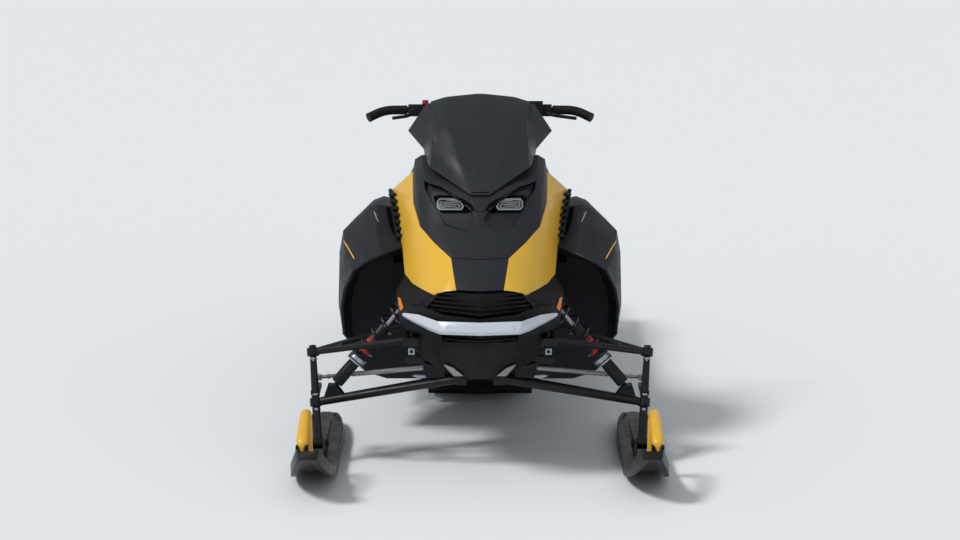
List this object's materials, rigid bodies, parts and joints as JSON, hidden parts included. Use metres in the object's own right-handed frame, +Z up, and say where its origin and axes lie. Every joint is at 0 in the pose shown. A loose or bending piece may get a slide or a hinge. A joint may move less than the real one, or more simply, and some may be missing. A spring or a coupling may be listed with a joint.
{
  "type": "snowmobile",
  "caption": "Single-seat trail snowmobile with two steered skis, coil-over front suspension, lugged rubber track under a tunnel, angular bodywork and a low windshield.",
  "frame": {"origin": "centre of the footprint on the floor, midway between the ski tips and the flap's end", "axes": "+Z up, -Y is the front, +X is the rider's left"},
  "size_m": [1.226, 3.0599, 1.182],
  "materials": {
    "hood": "satin moulded bodywork, charcoal",
    "accent": "gloss moulded panel, yellow",
    "side_panel": "matt moulded panel, dark grey",
    "black_plastic": "grained black plastic",
    "gloss_black": "display glass in a black case",
    "windshield": "dark smoked screen",
    "bumper": "silver paint",
    "grille": "black plastic",
    "lamp": "clear lamp",
    "amber": "amber lens",
    "red_lamp": "red lens",
    "black_metal": "black powder coat",
    "frame_metal": "cast and folded aluminium",
    "engine": "cast block",
    "steel": "bright steel",
    "spring": "black spring steel",
    "ski": "black ski plastic",
    "ski_handle": "yellow moulded loop",
    "track": "reinforced rubber",
    "wheel": "wheel with a rubber rim",
    "tunnel": "dark coated aluminium",
    "seat": "coated seat cover",
    "grip": "grip rubber",
    "flap": "black flap"
  },
  "bodies": {
    "chassis": {"lower_arms": "black_metal", "upper_arms": "black_metal", "shocks": "black_metal", "springs": "spring", "track": "track", "drive_axle": "black_metal", "tunnel": "tunnel", "running_boards": "tunnel", "slide_rails": "frame_metal", "front_frame": "frame_metal", "engine": "engine", "belly_pan": "black_plastic", "castings": "steel", "gauge": "gloss_black", "nose_panel": "hood", "accent_panels": "accent", "hood": "hood", "console": "black_plastic", "windshield": "windshield", "deflectors": "windshield", "side_panels": "side_panel", "grille": "grille", "bumper": "bumper", "headlights": "lamp", "side_markers": "amber", "tank": "black_plastic", "seat": "seat", "idler_wheels": "wheel", "skid_arms": "black_metal", "skid_shocks": "black_metal", "rear_bumper": "black_metal", "snow_flap": "flap", "tail_light": "red_lamp"},
    "knuckle_left": {"spindle_left": "black_metal"},
    "knuckle_right": {"spindle_right": "black_metal"},
    "ski_left": {"ski_left": "ski", "ski_handle_left": "ski_handle", "runner_left": "steel"},
    "ski_right": {"ski_right": "ski", "ski_handle_right": "ski_handle", "runner_right": "steel"},
    "tie_rod_left": {"tie_rod_left": "steel"},
    "tie_rod_right": {"tie_rod_right": "steel"},
    "handlebar": {"handlebar": "black_metal", "grips": "grip", "controls": "black_plastic"}
  },
  "joints": [
    {"name": "steer", "type": "hinge", "parent": "chassis", "child": "handlebar", "pos_m": [0, -0.385, 1.089], "axis": [0, 0.5, 0.866], "range_deg": [-30, 30]},
    {"name": "knuckle_left", "type": "hinge", "parent": "chassis", "child": "knuckle_left", "pos_m": [0.545, -0.995, 0.208], "axis": [0.0711, 0.3735, 0.9249], "range_deg": [-28.4, 28.4]},
    {"name": "ski_pitch_left", "type": "hinge", "parent": "knuckle_left", "child": "ski_left", "pos_m": [0.5405, -1.04629, 0.081], "axis": [1, 0, 0], "range_deg": [-20, 10], "stiffness_Nm_per_rad": 60},
    {"name": "tie_rod_left", "type": "slide", "parent": "chassis", "child": "tie_rod_left", "axis": [0.9957, 0, -0.0921], "range_m": [-0.0436, 0.0436]},
    {"name": "knuckle_right", "type": "hinge", "parent": "chassis", "child": "knuckle_right", "pos_m": [-0.545, -0.995, 0.208], "axis": [-0.0711, 0.3735, 0.9249], "range_deg": [-28.4, 28.4]},
    {"name": "ski_pitch_right", "type": "hinge", "parent": "knuckle_right", "child": "ski_right", "pos_m": [-0.5405, -1.04629, 0.081], "axis": [1, 0, 0], "range_deg": [-20, 10], "stiffness_Nm_per_rad": 60},
    {"name": "tie_rod_right", "type": "slide", "parent": "chassis", "child": "tie_rod_right", "axis": [-0.9957, 0, -0.0921], "range_m": [-0.0436, 0.0436]}
  ],
  "couplings": [
    {"joint": "knuckle_left", "follows": "steer", "ratio": 0.93},
    {"joint": "knuckle_right", "follows": "steer", "ratio": 0.93},
    {"joint": "tie_rod_left", "follows": "steer", "m_per_rad": -0.07759},
    {"joint": "tie_rod_right", "follows": "steer", "m_per_rad": 0.07759}
  ]
}
